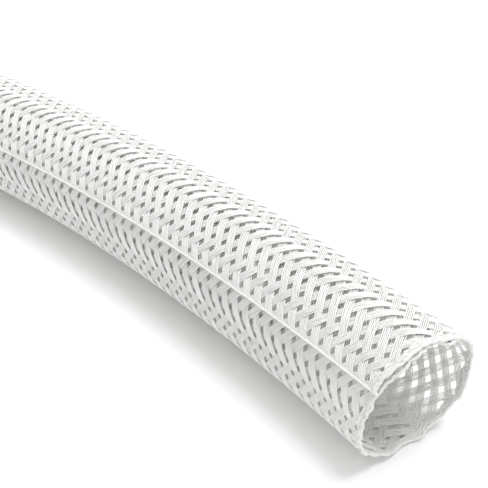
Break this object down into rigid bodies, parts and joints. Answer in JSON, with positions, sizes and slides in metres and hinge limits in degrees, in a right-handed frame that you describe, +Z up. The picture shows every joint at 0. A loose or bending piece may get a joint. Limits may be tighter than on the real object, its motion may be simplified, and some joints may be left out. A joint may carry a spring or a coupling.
{
  "type": "braided cable sleeve",
  "caption": "Self-closing tube of open white braid that wraps round a bundle of cables, with its free edge lapped under along one side.",
  "frame": {"origin": "on the floor, under the middle of the sleeve's box", "axes": "+X from the straight far end towards the bent near mouth, +Z up from the floor that the sleeve lies on"},
  "size_m": [0.5008, 0.0596, 0.0249],
  "materials": {
    "braid": "satin white monofilament"
  },
  "bodies": {
    "root": {"sleeve_at_mouth": "braid", "sleeve_in_bend": "braid", "sleeve_past_bend": "braid", "sleeve_straight": "braid"}
  },
  "joints": []
}
